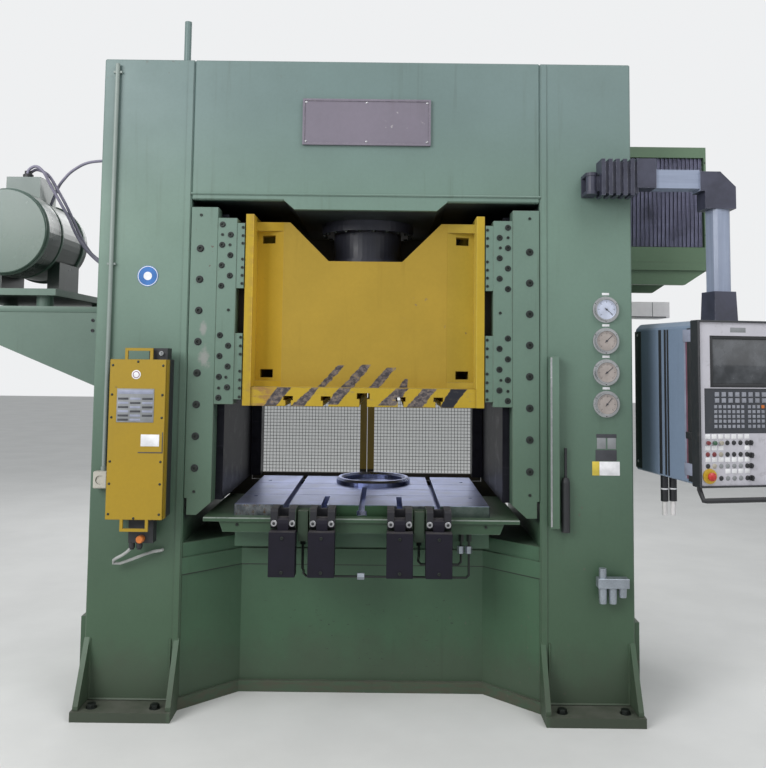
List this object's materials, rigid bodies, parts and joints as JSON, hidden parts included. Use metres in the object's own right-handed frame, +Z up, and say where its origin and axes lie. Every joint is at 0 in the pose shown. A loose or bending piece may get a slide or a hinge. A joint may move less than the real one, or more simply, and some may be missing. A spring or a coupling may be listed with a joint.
{
  "type": "hydraulic press",
  "caption": "Straight-side hydraulic forming press: welded portal frame, guided ram with T-slots, slotted table, folding consoles, light curtain, swing-arm control desk, side power unit.",
  "frame": {"origin": "on the floor under the bed, midway between the columns and midway through the frame's depth", "axes": "+X to the operator's right, +Y away from the operator, +Z up"},
  "size_m": [4.4612, 1.6694, 3.64],
  "materials": {
    "aluminium": "anodised aluminium",
    "black_oxide": "satin black finish",
    "box_grey": "light grey textured enamel",
    "cable_grey": "grey cable jacket",
    "chrome": "polished hard chrome",
    "dark_green": "dark green enamel, worn",
    "plate_mauve": "dull brownish cast plate",
    "press_green": "aged grey-green machine enamel, semi-gloss",
    "safety_yellow": "ochre yellow enamel, scuffed, with worn stripes",
    "signal_cream": "cream moulded plastic",
    "signal_green": "green moulded plastic",
    "signal_red": "red moulded plastic",
    "slide_steel": "machined steel, brown with oil",
    "table_steel": "machined bare steel, oiled and scratched"
  },
  "bodies": {
    "frame": {"air_unit": "aluminium", "arm_mount": "box_grey", "bed": "press_green", "bolster": "table_steel", "bolster_ring": "table_steel", "column_left": "press_green", "column_right": "press_green", "conduit": "press_green", "console_bracket_left": "black_oxide", "console_bracket_right": "black_oxide", "cooler": "dark_green", "cooler_bracket": "press_green", "crown": "press_green", "curtain_case": "black_oxide", "curtain_cover": "safety_yellow", "curtain_receiver": "press_green", "gauge_1": "chrome", "gauge_2": "chrome", "gauge_3": "chrome", "gauge_4": "chrome", "gib_plate_left": "press_green", "gib_plate_right": "press_green", "guard_frame": "safety_yellow", "guide_plate_left": "press_green", "guide_plate_right": "press_green", "lower_line": "press_green", "main_cylinder": "black_oxide", "motor": "press_green", "motor_base": "press_green", "motor_bracket": "press_green", "name_plate": "plate_mauve", "shelf": "press_green", "side_box": "box_grey", "side_sleeve": "black_oxide", "signal_cable": "cable_grey", "slideway_left": "slide_steel", "slideway_right": "slide_steel", "upper_line": "press_green"},
    "ram": {"ram": "safety_yellow", "ram_rod": "chrome"},
    "console_1": {"console_1": "black_oxide"},
    "console_2": {"console_2": "black_oxide"},
    "console_3": {"console_3": "black_oxide"},
    "console_4": {"console_4": "black_oxide"},
    "guard_left": {"guard_door_left": "safety_yellow", "guard_mesh_left": "black_oxide"},
    "guard_right": {"guard_door_right": "safety_yellow", "guard_mesh_right": "black_oxide"},
    "arm": {"swing_arm": "aluminium"},
    "desk": {"desk_tube": "aluminium", "desk_shell": "aluminium", "desk_front": "box_grey", "desk_grip": "black_oxide"},
    "stop": {"stop_button": "signal_red"},
    "push_red": {"button_red": "signal_red"},
    "push_green": {"button_green": "signal_green"},
    "push_cream": {"button_cream": "signal_cream"},
    "selector_upper": {"knob_upper": "black_oxide"},
    "selector_lower": {"knob_lower": "black_oxide"},
    "key": {"switch_key": "chrome"}
  },
  "joints": [
    {"name": "ram_slide", "type": "slide", "parent": "frame", "child": "ram", "axis": [0, 0, 1], "range_m": [-0.44, 0]},
    {"name": "console_hinge_1", "type": "hinge", "parent": "frame", "child": "console_1", "pos_m": [-0.375, -0.612, 0.9123], "axis": [-1, 0, 0], "range_deg": [0, 90]},
    {"name": "console_hinge_2", "type": "hinge", "parent": "frame", "child": "console_2", "pos_m": [-0.1875, -0.612, 0.9123], "axis": [-1, 0, 0], "range_deg": [0, 90]},
    {"name": "console_hinge_3", "type": "hinge", "parent": "frame", "child": "console_3", "pos_m": [0.1875, -0.612, 0.9123], "axis": [-1, 0, 0], "range_deg": [0, 90]},
    {"name": "console_hinge_4", "type": "hinge", "parent": "frame", "child": "console_4", "pos_m": [0.375, -0.612, 0.9123], "axis": [-1, 0, 0], "range_deg": [0, 90]},
    {"name": "guard_hinge_left", "type": "hinge", "parent": "frame", "child": "guard_left", "pos_m": [-0.713, 0.5998, 1.625], "axis": [0, 0, 1], "range_deg": [0, 95]},
    {"name": "guard_hinge_right", "type": "hinge", "parent": "frame", "child": "guard_right", "pos_m": [0.713, 0.5998, 1.625], "axis": [0, 0, -1], "range_deg": [0, 95]},
    {"name": "arm_hinge", "type": "hinge", "parent": "frame", "child": "arm", "pos_m": [1.118, -0.64, 2.545], "axis": [0, 0, 1], "range_deg": [-60, 5]},
    {"name": "desk_hinge", "type": "hinge", "parent": "arm", "child": "desk", "pos_m": [1.74, -0.64, 2.457], "axis": [0, 0, 1], "range_deg": [-30, 10]},
    {"name": "stop_push", "type": "slide", "parent": "desk", "child": "stop", "axis": [-0.1908, 0.9816, 0], "range_m": [0, 0.0035], "stiffness_N_per_m": 2000},
    {"name": "push_red_slide", "type": "slide", "parent": "desk", "child": "push_red", "axis": [-0.1908, 0.9816, 0], "range_m": [0, 0.0035], "stiffness_N_per_m": 1000},
    {"name": "push_green_slide", "type": "slide", "parent": "desk", "child": "push_green", "axis": [-0.1908, 0.9816, 0], "range_m": [0, 0.0035], "stiffness_N_per_m": 1000},
    {"name": "push_cream_slide", "type": "slide", "parent": "desk", "child": "push_cream", "axis": [-0.1908, 0.9816, 0], "range_m": [0, 0.0035], "stiffness_N_per_m": 1000},
    {"name": "selector_upper_turn", "type": "hinge", "parent": "desk", "child": "selector_upper", "pos_m": [1.81571, -0.79368, 1.28], "axis": [0.1908, -0.9816, 0], "range_deg": [-45, 45]},
    {"name": "selector_lower_turn", "type": "hinge", "parent": "desk", "child": "selector_lower", "pos_m": [1.81571, -0.79368, 1.175], "axis": [0.1908, -0.9816, 0], "range_deg": [-45, 45]},
    {"name": "key_turn", "type": "hinge", "parent": "frame", "child": "key", "pos_m": [-0.973, -0.6766, 1.72125], "axis": [0, -1, 0], "range_deg": [0, 90]}
  ]
}
